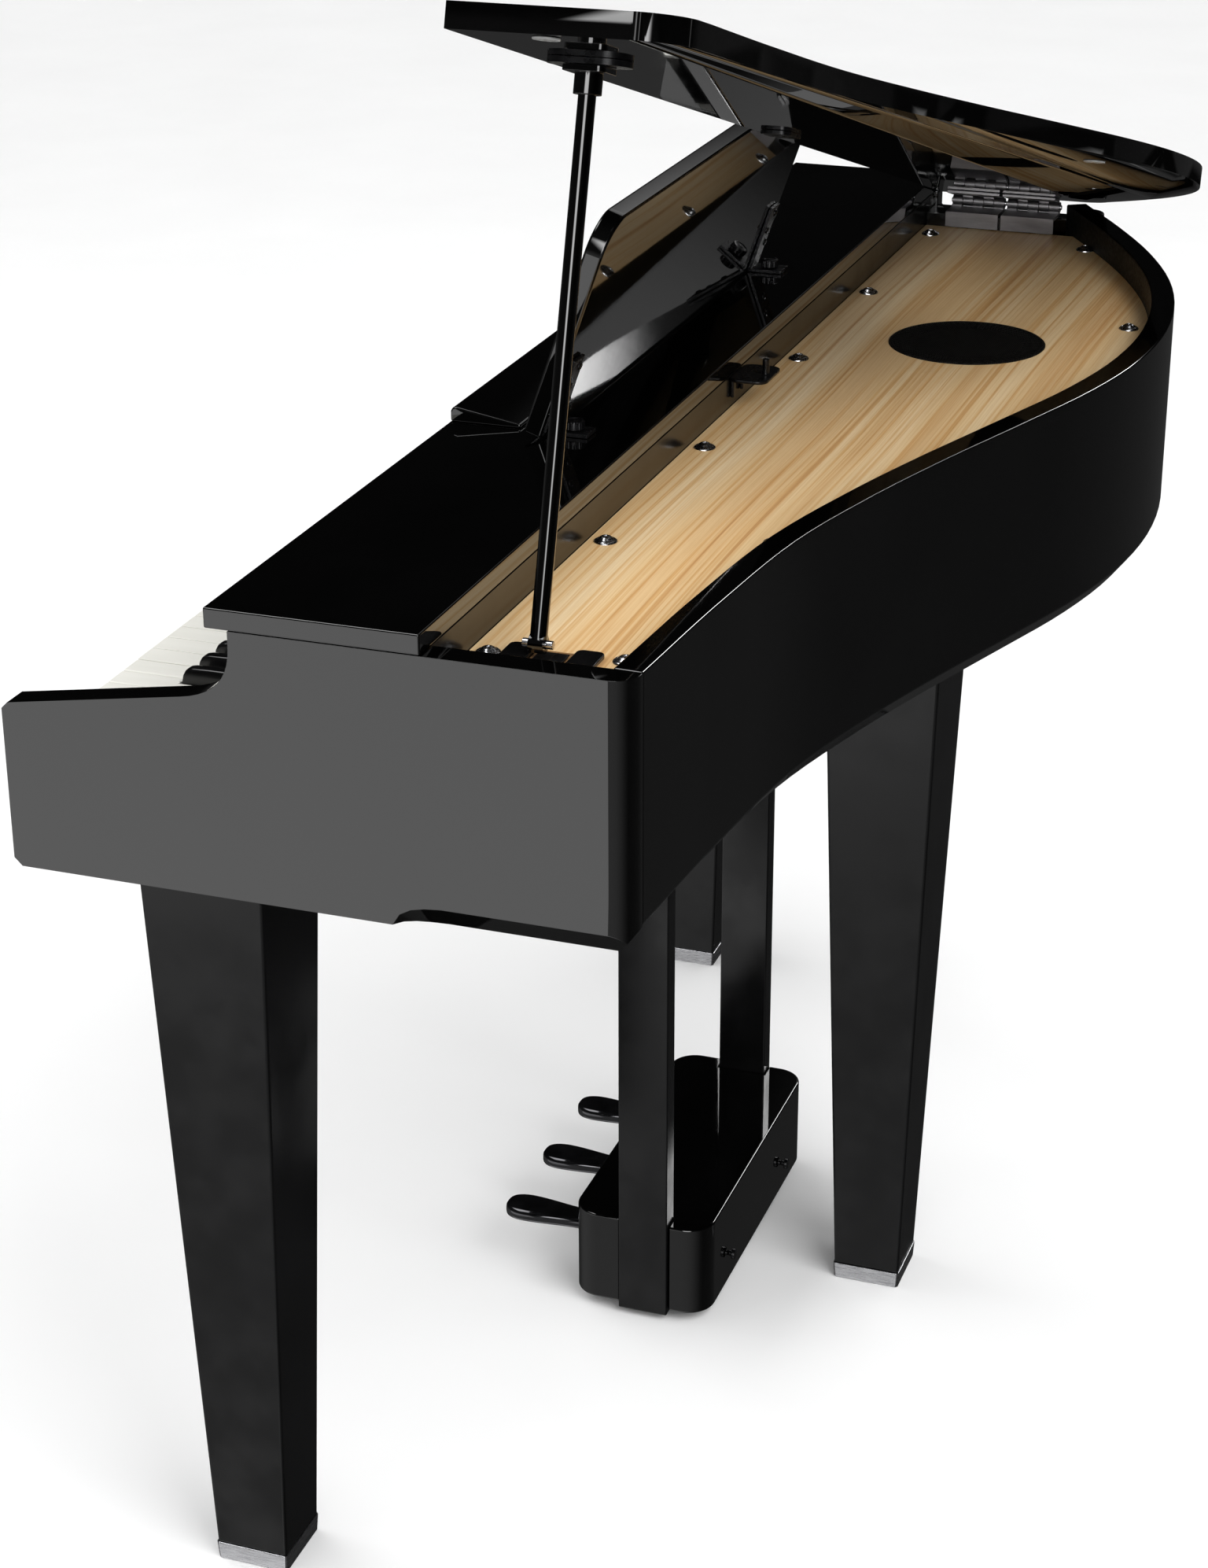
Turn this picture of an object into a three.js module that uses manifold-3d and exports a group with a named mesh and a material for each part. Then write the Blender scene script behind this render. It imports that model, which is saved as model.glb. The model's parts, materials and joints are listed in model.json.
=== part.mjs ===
// A compact digital grand piano: black case with a curved tail, propped lid, music desk,
// 88-key keyboard with a sliding cover, three tapered legs and a hung pedal box.
// Millimetres, +Z up. +X is the treble side, +Y points from the player to the tail.
// While building, Y = 0 is at the front of the white keys; the finished group is moved so
// that its origin lies on the floor under the middle of the bounding box.
import * as THREE from 'three';
import { mergeVertices } from 'three/addons/utils/BufferGeometryUtils.js';
import Module from 'manifold-3d';

const wasm = await Module();
wasm.setup();

// ---------- driving dimensions ----------
const GAP = 0.3; // clearance between touching parts
const caseHalf = 698; // half of the case width
const board = 21; // thickness of cheeks and rim
const inner = caseHalf - board - GAP; // half of the clear width between the cheeks
const caseBottom = 657;
const rimTop = 855;
const bevelHeight = 18; // undercut along the lower edge of the tail
const bevelDepth = 14;
const armFront = -22;
const cheekEnd = 438; // where the treble cheek ends and the bentside starts
const bassCheekEnd = 468;
const panelFront = 137;
const panelRear = 292;
const panelTop = 870;
const panelThick = 14.7;
const keyTop = 757;
const keyPitch = 23.5;
const whiteCount = 52;
const keyHalf = (keyPitch * whiteCount) / 2;
const keyPivotY = 215;
const soundboardTop = 828;
const soundboardThick = 12;
const lidUnder = 857; // underside of the closed lid
const lidThick = 17;
const lidFront = 296;
const lidBassEdge = -692.2;
const lidTrebleEdge = 700;
const lidOpen = THREE.MathUtils.degToRad(16.5);
const hingeX = -675;
const hingeZ = 849;
const hingeRailFace = -645;
const hingeRecessTop = 838;
const hingeLength = 54;
const hingeStarts = [313, 370];
const propX = 613;
const propY = 342;
const propZ = 839;
const deskLean = THREE.MathUtils.degToRad(19.3);
const deskFootY = 221;
const deskHalf = 286;
const deskHeight = 182;
const deskThick = 15;
const bracketX = 261;
const legCentres = { treble_leg: [564, 78], bass_leg: [-564, 78], tail_leg: [0, 437] };
const legFoot = 61;
const legTop = 102;
const ferruleHeight = 15.7;
const boxTreble = 150;
const boxBass = -165;
const boxFront = 190;
const boxRear = 320;
const boxBottom = 10;
const boxTop = 98;
const postCentres = { treble_post: 143.5, bass_post: -157.5 };
const postThick = 20;
const postFront = 237;
const postRear = 283;
const pedalPitch = 98;
const pedalPivotY = 292;
const pedalPivotZ = 57;
const speakerX = -230;
const speakerY = 434;
const speakerRadius = 70;
const rimRear = 611;
const lidOverhang = 12;

// ---------- materials ----------
const finish = (color, roughness, metalness = 0) =>
  new THREE.MeshStandardMaterial({ color, roughness, metalness });
const gloss = () => finish(0x0b0b0c, 0.08);
const satin = () => finish(0x141414, 0.4);
const darkMetal = () => finish(0x1c1c1e, 0.3, 0.8);
const chrome = () => finish(0xb9bbc0, 0.15, 1);
const spruce = () => finish(0xd9b98a, 0.45);
const ply = () => finish(0x6a5a48, 0.7);

const piano = new THREE.Group();
piano.position.set(0, -(armFront + rimRear + lidOverhang) / 2, 0);
const addTo = (parent, name, geometry, material) => {
  const mesh = new THREE.Mesh(geometry, material);
  mesh.name = name;
  parent.add(mesh);
  return mesh;
};
const add = (name, geometry, material) => addTo(piano, name, geometry, material);

// ---------- geometry helpers ----------
const box = (x0, x1, y0, y1, z0, z1) => {
  const geometry = new THREE.BoxGeometry(x1 - x0, y1 - y0, z1 - z0);
  return geometry.translate((x0 + x1) / 2, (y0 + y1) / 2, (z0 + z1) / 2);
};

const toShape = (outline) =>
  outline instanceof THREE.Shape
    ? outline
    : new THREE.Shape(outline.map((p) => new THREE.Vector2(p[0], p[1])));

const extrude = (outline, length, curveSegments = 8) =>
  new THREE.ExtrudeGeometry(toShape(outline), { depth: length, bevelEnabled: false, curveSegments });

// plan outline in (x, y), standing between two heights
const standing = (outline, z0, z1, segments) => extrude(outline, z1 - z0, segments).translate(0, 0, z0);

// side profile in (y, z), running along x
const alongX = (profile, x0, x1, segments) => {
  const turn = new THREE.Matrix4().set(0, 0, 1, x0, 1, 0, 0, 0, 0, 1, 0, 0, 0, 0, 0, 1);
  return extrude(profile, x1 - x0, segments).applyMatrix4(turn);
};

// front profile in (x, z), running along y
const alongY = (profile, y0, y1, segments) => {
  const turn = new THREE.Matrix4().set(1, 0, 0, 0, 0, 0, -1, y1, 0, 1, 0, 0, 0, 0, 0, 1);
  return extrude(profile, y1 - y0, segments).applyMatrix4(turn);
};

const rodAlongY = (radius, x, y0, y1, z, sides = 24) =>
  new THREE.CylinderGeometry(radius, radius, y1 - y0, sides).translate(x, (y0 + y1) / 2, z);

const rodAlongX = (radius, x0, x1, y, z, sides = 24) =>
  new THREE.CylinderGeometry(radius, radius, x1 - x0, sides)
    .rotateZ(Math.PI / 2)
    .translate((x0 + x1) / 2, y, z);

const rodAlongZ = (radius, x, y, z0, z1, sides = 24) =>
  new THREE.CylinderGeometry(radius, radius, z1 - z0, sides)
    .rotateX(Math.PI / 2)
    .translate(x, y, (z0 + z1) / 2);

const turned = (profile, sides = 32) =>
  new THREE.LatheGeometry(profile.map((p) => new THREE.Vector2(p[0], p[1])), sides).rotateX(Math.PI / 2);

// closed body through equal rings of points, each ring a convex loop
const loft = (rings) => {
  const count = rings[0].length;
  const positions = rings.flat().flatMap((p) => [p.x, p.y, p.z]);
  const index = [];
  for (let r = 0; r + 1 < rings.length; r++) {
    for (let i = 0; i < count; i++) {
      const a = r * count + i;
      const b = r * count + ((i + 1) % count);
      index.push(a, b, b + count, a, b + count, a + count);
    }
  }
  const last = (rings.length - 1) * count;
  for (let i = 1; i + 1 < count; i++) {
    index.push(0, i + 1, i, last, last + i, last + i + 1);
  }
  const geometry = new THREE.BufferGeometry();
  geometry.setAttribute('position', new THREE.Float32BufferAttribute(positions, 3));
  geometry.setIndex(index);
  return signedVolume(geometry) < 0 ? flipped(geometry) : geometry;
};

const signedVolume = (geometry) => {
  const position = geometry.getAttribute('position');
  const [a, b, c] = [new THREE.Vector3(), new THREE.Vector3(), new THREE.Vector3()];
  let total = 0;
  for (let i = 0; i < geometry.index.count; i += 3) {
    a.fromBufferAttribute(position, geometry.index.getX(i));
    b.fromBufferAttribute(position, geometry.index.getX(i + 1));
    c.fromBufferAttribute(position, geometry.index.getX(i + 2));
    total += a.dot(b.cross(c));
  }
  return total;
};

const flipped = (geometry) => {
  const list = Array.from(geometry.index.array);
  for (let i = 0; i < list.length; i += 3) {
    [list[i + 1], list[i + 2]] = [list[i + 2], list[i + 1]];
  }
  geometry.setIndex(list);
  return geometry;
};

const solid = (geometry) => {
  const bare = geometry.clone();
  bare.deleteAttribute('normal');
  bare.deleteAttribute('uv');
  const merged = mergeVertices(bare, 1e-4);
  const vertProperties = Float32Array.from(merged.getAttribute('position').array);
  const triVerts = Uint32Array.from(merged.index.array);
  return new wasm.Manifold(new wasm.Mesh({ numProp: 3, vertProperties, triVerts }));
};

const toGeometry = (body) => {
  const mesh = body.getMesh();
  const geometry = new THREE.BufferGeometry();
  geometry.setAttribute('position', new THREE.Float32BufferAttribute(mesh.vertProperties, 3));
  geometry.setIndex(Array.from(mesh.triVerts));
  return geometry;
};

const cut = (base, ...tools) =>
  toGeometry(tools.reduce((body, tool) => body.subtract(solid(tool)), solid(base)));
const join = (...parts) => toGeometry(parts.map(solid).reduce((body, part) => body.add(part)));
const common = (a, b) => toGeometry(solid(a).intersect(solid(b)));

const roundedRect = (x0, x1, y0, y1, r) => {
  const shape = new THREE.Shape();
  shape.moveTo(x0 + r, y0);
  shape.lineTo(x1 - r, y0);
  shape.absarc(x1 - r, y0 + r, r, -Math.PI / 2, 0);
  shape.lineTo(x1, y1 - r);
  shape.absarc(x1 - r, y1 - r, r, 0, Math.PI / 2);
  shape.lineTo(x0 + r, y1);
  shape.absarc(x0 + r, y1 - r, r, Math.PI / 2, Math.PI);
  shape.lineTo(x0, y0 + r);
  shape.absarc(x0 + r, y0 + r, r, Math.PI, 1.5 * Math.PI);
  return shape;
};

// ---------- the curved outline of tail and bentside ----------
// from the treble corner, along the hollow bentside, round the tail, to the bass cheek
const tailCurve = new THREE.CatmullRomCurve3(
  [
    [inner, cheekEnd], [540, 446], [400, 460], [290, 485], [190, 514], [78, 551], [-30, 585],
    [-120, 604], [-215, rimRear], [-310, 604], [-405, 583], [-500, 547], [-590, 501], [-inner, 450],
  ].map(([x, y]) => new THREE.Vector3(x, y, 0)),
  false,
  'centripetal',
);
const tailSteps = 56;
const tailPoints = tailCurve.getSpacedPoints(tailSteps);
const tailNormals = tailPoints.map((_, i) => {
  const tangent = tailCurve.getTangentAt(i / tailSteps);
  return new THREE.Vector3(-tangent.y, tangent.x, 0); // points into the case
});
const tailOffset = (inward) =>
  tailPoints.map((p, i) => p.clone().addScaledVector(tailNormals[i], inward)).map((p) => [p.x, p.y]);

// plan outline inside the rim, between a front line and the two side limits
const insideRim = (front, bassLimit, trebleLimit) => {
  const curve = tailOffset(board + GAP);
  const crossing = (limit) => {
    const i = curve.findIndex(([x], k) => k > 0 && x <= limit && curve[k - 1][0] > limit);
    if (i < 0) return [limit, (limit > 0 ? curve[0] : curve[curve.length - 1])[1] - GAP];
    const [[x0, y0], [x1, y1]] = [curve[i - 1], curve[i]];
    return [limit, y0 + ((y1 - y0) * (x0 - limit)) / (x0 - x1)];
  };
  const between = curve.filter(([x]) => x > bassLimit + 1 && x < trebleLimit - 1);
  return [
    [bassLimit, front], [trebleLimit, front], crossing(trebleLimit), ...between, crossing(bassLimit),
  ];
};

// ---------- case ----------
function cheekProfile(rear, top) {
  const profile = new THREE.Shape();
  profile.moveTo(armFront + 6, caseBottom);
  profile.lineTo(rear, caseBottom);
  profile.lineTo(rear, top);
  profile.lineTo(154, top);
  profile.lineTo(154, 844);
  profile.bezierCurveTo(154, 821, 142, 807.5, 116, 803.5);
  profile.lineTo(armFront + 5, 781.5);
  profile.lineTo(armFront, 776.5);
  profile.lineTo(armFront, caseBottom + 6);
  return profile;
}

function makeCheeks() {
  const corner = 18;
  const blank = alongX(cheekProfile(cheekEnd, rimTop), inner + GAP, caseHalf, 10);
  const plan = roundedRect(inner - 40, caseHalf, armFront - 40, cheekEnd, corner);
  const rounded = common(blank, standing(plan, caseBottom - 10, rimTop + 10, 8));
  const undercut = (y, h) => [
    new THREE.Vector3(caseHalf + 1, y, caseBottom - 1),
    new THREE.Vector3(caseHalf + 1, y, caseBottom + bevelHeight * h),
    new THREE.Vector3(caseHalf - bevelDepth * h, y, caseBottom - 1),
  ];
  const ramp = [[266, 0.02], [272, 0.55], [280, 0.8], [290, 0.93], [302, 1], [cheekEnd + 5, 1]];
  const sideCut = loft(ramp.map(([y, h]) => undercut(y, h)));
  const rearCut = alongX(
    [[cheekEnd + 1, caseBottom - 1], [cheekEnd + 1, caseBottom + bevelHeight],
      [cheekEnd - bevelDepth, caseBottom - 1]],
    inner - 5, caseHalf + 5,
  );
  add('treble_cheek', cut(rounded, sideCut, rearCut), gloss());

  const bassBlank = alongX(cheekProfile(bassCheekEnd, rimTop), -caseHalf, -inner - GAP, 10);
  const bassPlan = roundedRect(-caseHalf, -inner + 40, armFront - 40, bassCheekEnd, corner);
  const bassRounded = common(bassBlank, standing(bassPlan, caseBottom - 10, rimTop + 10, 8));
  const recess = box(-caseHalf - 5, -inner + 5, lidFront, 440, hingeRecessTop, rimTop + 5);
  const lowEnd = box(-caseHalf - 5, -inner + 5, 435, bassCheekEnd + 5, 845, rimTop + 5);
  add('bass_cheek', cut(bassRounded, recess, lowEnd), gloss());
}

function makeRim() {
  const section = [
    [0, rimTop], [0, caseBottom + bevelHeight], [bevelDepth, caseBottom], [board, caseBottom],
    [board, rimTop],
  ];
  const rings = tailPoints.map((p, i) =>
    section.map(([inward, z]) => {
      const q = p.clone().addScaledVector(tailNormals[i], inward);
      return new THREE.Vector3(q.x, q.y, z);
    }),
  );
  const side = box(-inner, inner, 380, 700, caseBottom - 5, rimTop + 5);
  add('curved_rim', common(loft(rings), side), gloss());
}

function makeInnerCase() {
  add('bottom_board', standing(insideRim(-1.7, -inner, inner), 660, 672), satin());
  add('key_slip', box(-inner, inner, -20, -2, caseBottom, 730), gloss());
  add('belly_rail', box(-inner, inner, 277, panelRear - GAP, 672.3, rimTop - GAP), ply());
  add('top_panel', box(-caseHalf, caseHalf, panelFront, panelRear, panelTop - panelThick, panelTop), gloss());
  const railEnd = 405;
  add('hinge_rail', box(-inner, hingeRailFace, panelRear + GAP, railEnd, 672.3, 841), satin());
}

function makeSoundboard() {
  const outline = toShape(insideRim(panelRear + GAP, hingeRailFace + GAP, inner));
  const hole = new THREE.Path();
  hole.absarc(speakerX, speakerY, speakerRadius, 0, 2 * Math.PI, true);
  outline.holes.push(hole);
  add('soundboard', standing(outline, soundboardTop - soundboardThick, soundboardTop, 24), spruce());

  const grilleRadius = speakerRadius - 2 * GAP;
  const grille = turned([[0, -6], [grilleRadius, -6], [grilleRadius, 1], [50, 2.4], [0, 3]], 48);
  add('speaker_grille', grille.translate(speakerX, speakerY, soundboardTop), finish(0x0d0c0b, 0.6));
  const driver = turned(
    [[0, -80], [38, -80], [42, -76], [42, -55], [36, -50], [72, -10], [78, -10], [78, -5], [0, -5]], 32);
  const driverTop = soundboardTop - soundboardThick + 5 - GAP;
  add('speaker_driver', driver.translate(speakerX, speakerY, driverTop), satin());
}

// ---------- lid, hinges and prop ----------
// the lid group turns about the hinge line; inside it the lid is drawn closed
const lidGroup = new THREE.Group();
lidGroup.position.set(hingeX, 0, hingeZ);
lidGroup.rotation.y = -lidOpen;
piano.add(lidGroup);
const addToLid = (name, geometry, material) =>
  addTo(lidGroup, name, geometry.translate(-hingeX, 0, -hingeZ), material);

function makeLid() {
  const corner = 34;
  const rear = cheekEnd + lidOverhang;
  const edge = tailOffset(-lidOverhang).filter(([x]) => x < lidTrebleEdge - corner - 6 && x > lidBassEdge + 30);
  const outline = new THREE.Shape();
  outline.moveTo(lidBassEdge, lidFront);
  outline.lineTo(lidTrebleEdge, lidFront);
  outline.lineTo(lidTrebleEdge, rear - corner);
  outline.absarc(lidTrebleEdge - corner, rear - corner, corner, 0, Math.PI / 2);
  edge.forEach(([x, y]) => outline.lineTo(x, y));
  outline.quadraticCurveTo(lidBassEdge, 461, lidBassEdge, 436);
  addToLid('lid', standing(outline, lidUnder, lidUnder + lidThick, 8), gloss());

  const contact = lidContact();
  const cup = roundedRect(contact - 16, contact + 16, propY - 29, propY + 29, 15.9);
  addToLid('prop_cup_plate', standing(cup, lidUnder - GAP - 4, lidUnder - GAP, 6), darkMetal());
  const striker = cut(
    standing(roundedRect(-14, 30, 305, 331, 8), lidUnder - GAP - 3, lidUnder - GAP, 4),
    rodAlongZ(5, 8, 318, lidUnder - 10, lidUnder + 5),
  );
  addToLid('striker_plate', striker, darkMetal());
  const bumpers = { lid_bumper_front: [686, 358], lid_bumper_tail: [-56, 566] };
  for (const [name, [x, y]] of Object.entries(bumpers)) {
    addToLid(name, rodAlongZ(9, x, y, lidUnder - GAP - 1.6, lidUnder - GAP), finish(0xc9c9c6, 0.3));
  }
}

// distance of the prop's seat from the hinge, as an x place on the closed lid
function lidContact() {
  const along = (propX - hingeX) * Math.cos(lidOpen) + (propZ - hingeZ) * Math.sin(lidOpen);
  return hingeX + along;
}

// height of the lid's underside above the prop's pivot, square to the lid
function propReach() {
  const rise = -(propX - hingeX) * Math.sin(lidOpen) + (propZ - hingeZ) * Math.cos(lidOpen);
  return lidUnder - hingeZ - rise;
}

function makeHinges() {
  const knuckle = 5.5;
  const bore = 2.8;
  const pitch = hingeLength / 5;
  const plateEdge = hingeX + 6.5;
  hingeStarts.forEach((start, i) => {
    const bar = (k, extra) => {
      const y0 = start + k * pitch + GAP / 2;
      const y1 = y0 + pitch - GAP;
      return [rodAlongY(knuckle, hingeX, y0, y1, hingeZ, 16), box(hingeX, plateEdge + 1, y0, y1, ...extra)];
    };
    const pinHole = rodAlongY(bore, hingeX, start - 5, start + hingeLength + 5, hingeZ, 12);
    const caseFoot = [hingeRecessTop + 3.4, hingeRecessTop + 8];
    const caseLeaf = join(
      box(plateEdge, hingeRailFace + 3.3, start, start + hingeLength, hingeRecessTop + 3.4, 844.4),
      box(hingeRailFace + GAP, hingeRailFace + 3.3, start, start + hingeLength, 829, 844.4),
      ...bar(0, caseFoot), ...bar(2, caseFoot), ...bar(4, caseFoot),
    );
    add(`hinge_case_leaf_${i + 1}`, cut(caseLeaf, pinHole), darkMetal());
    const lidFoot = [lidUnder - 5, lidUnder - GAP];
    const lidLeaf = join(
      box(plateEdge, hingeRailFace + 3.3, start, start + hingeLength, lidUnder - 3.3, lidUnder - GAP),
      ...bar(1, lidFoot), ...bar(3, lidFoot),
    );
    addToLid(`hinge_lid_leaf_${i + 1}`, cut(lidLeaf, pinHole), darkMetal());
    const pin = rodAlongY(bore - GAP, hingeX, start - 1.5, start + hingeLength + 1.5, hingeZ, 12);
    add(`hinge_pin_${i + 1}`, pin, chrome());
  });
}

function makeProp() {
  const propGroup = new THREE.Group();
  propGroup.position.set(propX, propY, propZ);
  propGroup.rotation.y = -lidOpen;
  piano.add(propGroup);
  const top = propReach() - 4 - 2 * GAP - 0.3;
  const rod = join(
    rodAlongZ(6, 0, 0, 2, top - 14, 20),
    rodAlongZ(9.5, 0, 0, top - 18, top - 4, 24),
    standing(roundedRect(-15, 15, -15, 15, 5), top - 4, top, 4),
    rodAlongY(6.6, 0, -5.5, 5.5, 0, 20),
  );
  addTo(propGroup, 'lid_prop', cut(rod, rodAlongY(3.3, 0, -10, 10, 0, 16)), gloss());

  const base = soundboardTop + GAP;
  const lug = (y) => box(propX - 8, propX + 8, y - 1.5, y + 1.5, base, propZ + 6);
  const bracket = join(
    standing(roundedRect(propX - 18, propX + 18, propY - 42, propY + 42, 8), base, base + 3, 4),
    lug(propY - 8), lug(propY + 8),
  );
  const hole = rodAlongY(3.3, propX, propY - 20, propY + 20, propZ, 16);
  add('prop_bracket', cut(bracket, hole), satin());
  add('prop_pin', rodAlongY(3, propX, propY - 11, propY + 11, propZ, 16), chrome());
}

function makeLidPin() {
  const plateTop = 854.7;
  const plate = join(
    standing(roundedRect(-17, 33, panelRear, 325, 9), plateTop - 3, plateTop, 4),
    box(-8, -2, panelRear, panelRear + 3, 836, plateTop - 1),
    box(18, 24, panelRear, panelRear + 3, 836, plateTop - 1),
    rodAlongZ(3, 8, 318, plateTop - 1, plateTop + 13, 16),
  );
  add('lid_pin_bracket', plate, darkMetal());
}

// ---------- music desk ----------
function makeMusicDesk() {
  const base = panelTop + GAP;
  const wedge = [[137.5, base], [196, base], [196, base + 3], [143, base + 12], [139, base + 11], [137.5, base + 8]];
  add('music_ledge', alongX(wedge, -263, 263), gloss());

  const deskGroup = new THREE.Group();
  deskGroup.position.set(0, deskFootY, panelTop + 1);
  deskGroup.rotation.x = -deskLean;
  piano.add(deskGroup);
  const outline = new THREE.Shape();
  const r = 30;
  outline.moveTo(-deskHalf, 0);
  outline.lineTo(deskHalf, 0);
  outline.lineTo(deskHalf, deskHeight - r);
  outline.absarc(deskHalf - r, deskHeight - r, r, 0, Math.PI / 2);
  outline.absarc(-deskHalf + r, deskHeight - r, r, Math.PI / 2, Math.PI);
  addTo(deskGroup, 'music_desk', alongY(outline, -deskThick, 0, 8), gloss());

  const up = new THREE.Vector2(Math.sin(deskLean), Math.cos(deskLean));
  const back = new THREE.Vector2(Math.cos(deskLean), -Math.sin(deskLean));
  const foot = new THREE.Vector2(deskFootY, panelTop + 1);
  const onBack = (s, off) => foot.clone().addScaledVector(up, s).addScaledVector(back, off).toArray();
  const legTopZ = base + 3;
  const kneeS = (legTopZ - foot.y + 3.4 * Math.sin(deskLean)) / Math.cos(deskLean);
  const ell = [onBack(0, 0.5), [254, base], [254, legTopZ], onBack(kneeS, 3.4), onBack(64, 3.4), onBack(64, 0.4)];
  ell.splice(1, 0, [onBack(0, 0.5)[0] + 0.6, base]);
  for (const [side, x] of [['treble', bracketX], ['bass', -bracketX]]) {
    add(`desk_bracket_${side}`, alongX(ell, x - 11, x + 11), darkMetal());
    const ridges = 18;
    const rim = Array.from({ length: ridges * 2 }, (_, k) => {
      const angle = (k * Math.PI) / ridges;
      const radius = k % 2 ? 7.4 : 8;
      return [radius * Math.cos(angle), radius * Math.sin(angle)];
    });
    const knob = standing(rim, 0, 8).translate(x, 240, legTopZ + GAP);
    add(`desk_thumb_screw_${side}`, knob, satin());
  }
}

// ---------- keyboard ----------
const noteOrder = ['A', 'B', 'C', 'D', 'E', 'F', 'G'];
const sharpShift = { A: 3, C: -2, D: 2, F: -3, G: 0 }; // sharps sit a little off the gap
const noteOf = (white) => noteOrder[white % 7];
const hasSharp = (white) => white >= 0 && white < whiteCount - 1 && noteOf(white) in sharpShift;
const sharpCentre = (white) => -keyHalf + keyPitch * (white + 1) + sharpShift[noteOf(white)];
const sharpHalf = 5.5;
const sharpFront = 52;

function whiteKey(white, rear) {
  const left = -keyHalf + keyPitch * white + 0.5;
  const right = left + keyPitch - 1;
  const tailLeft = hasSharp(white - 1) ? sharpCentre(white - 1) + sharpHalf + 1 : left;
  const tailRight = hasSharp(white) ? sharpCentre(white) - sharpHalf - 1 : right;
  const outline = [[left, 0], [right, 0]];
  if (tailRight < right) outline.push([right, sharpFront - 2], [tailRight, sharpFront - 2]);
  outline.push([tailRight, rear], [tailLeft, rear]);
  if (tailLeft > left) outline.push([tailLeft, sharpFront - 2], [left, sharpFront - 2]);
  return standing(outline, keyTop - 22, keyTop);
}

function blackKey(white, rear) {
  const x = sharpCentre(white);
  const low = keyTop - 11.7;
  const profile = [
    [sharpFront, low], [rear, low], [rear, keyTop - 1], [152, keyTop - 1], [150, keyTop + 12],
    [sharpFront + 7, keyTop + 12], [sharpFront, keyTop],
  ];
  return alongX(profile, x - sharpHalf, x + sharpHalf);
}

function makeKeys() {
  const loose = { key_C8: 51, key_B7: 50, key_A7: 49 };
  const ivory = () => finish(0xe6e6e0, 0.25);
  for (const [name, white] of Object.entries(loose)) {
    add(name, whiteKey(white, keyPivotY), ivory());
  }
  add('key_A_sharp7', blackKey(49, keyPivotY), satin());

  const firstLoose = 49;
  const barRight = -keyHalf + keyPitch * firstLoose - 1;
  const whites = [box(-keyHalf + 0.5, barRight, 214, 226, keyTop - 22, keyTop - 13)];
  const blacks = [box(-keyHalf + 6, barRight, 228, 238, keyTop - 11.7, keyTop - 1)];
  for (let white = 0; white < firstLoose; white++) {
    whites.push(whiteKey(white, keyPivotY));
    if (hasSharp(white)) blacks.push(blackKey(white, 229));
  }
  add('white_keys', join(...whites), ivory());
  add('black_keys', join(...blacks), satin());

  const keybed = [[20, 672.3], [250, 672.3], [250, 744], [241, 744], [241, 722], [20, 722]];
  add('keybed', alongX(keybed, -keyHalf, keyHalf), ply());
}

function makeKeyBlocks() {
  const [front, rear, bottom] = [-1.7, 150, 672.3];
  const edge = keyHalf + 1.5;
  add('treble_key_block', box(edge, inner, front, rear, bottom, keyTop), gloss());
  const wellDepth = 8;
  const well = rodAlongZ(7, -645, 25, keyTop - wellDepth, keyTop + 5);
  add('bass_key_block', cut(box(-inner, -edge, front, rear, bottom, keyTop), well), gloss());
  add('power_button', rodAlongZ(6.4, -645, 25, keyTop - 4, keyTop + 2.5), satin());
  const knob = turned([[0, 0], [9, 0], [9, 6], [8, 7.5], [0, 7.5]], 24);
  add('volume_knob', knob.translate(-645, 70, keyTop + GAP), satin());
}

function makeKeyCover() {
  const slope = Math.atan2(22, 133); // the same slope as the arms
  const place = (s, h) => [
    -16 + s * Math.cos(slope) - h * Math.sin(slope), 767 + s * Math.sin(slope) + h * Math.cos(slope),
  ];
  const profile = [[151, 0], [288, 0], [288, 6], [157, 6], [156, 12], [151, 12]].map(([s, h]) => place(s, h));
  add('key_cover', alongX(profile, -inner + 1.5, inner - 1.5), gloss());
}

function makeMainBoard() {
  const z = 672.4;
  const parts = [box(120, 380, 320, 410, z, z + 2)];
  for (const [x, y] of [[150, 340], [220, 380], [300, 350], [340, 390]]) {
    parts.push(box(x - 15, x + 15, y - 12, y + 12, z + 1, z + 12));
  }
  add('main_board', join(...parts), finish(0x1d4d2c, 0.6));
}

// ---------- legs and pedals ----------
function squareRing(x, y, size, z, chamfer) {
  const h = size / 2;
  const c = h - chamfer;
  const corners = [[-c, -h], [c, -h], [h, -c], [h, c], [c, h], [-c, h], [-h, c], [-h, -c]];
  return corners.map(([dx, dy]) => new THREE.Vector3(x + dx, y + dy, z));
}

function makeLegs() {
  for (const [name, [x, y]] of Object.entries(legCentres)) {
    const rings = [
      squareRing(x, y, legFoot, ferruleHeight + GAP, 1.5), squareRing(x, y, legTop, 659.7, 1.5),
    ];
    add(name, loft(rings), satin());
    const ferrule = [squareRing(x, y, legFoot, 0, 2), squareRing(x, y, legFoot + 2, ferruleHeight, 2)];
    add(name.replace('leg', 'ferrule'), loft(ferrule), chrome());
  }
}

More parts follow.
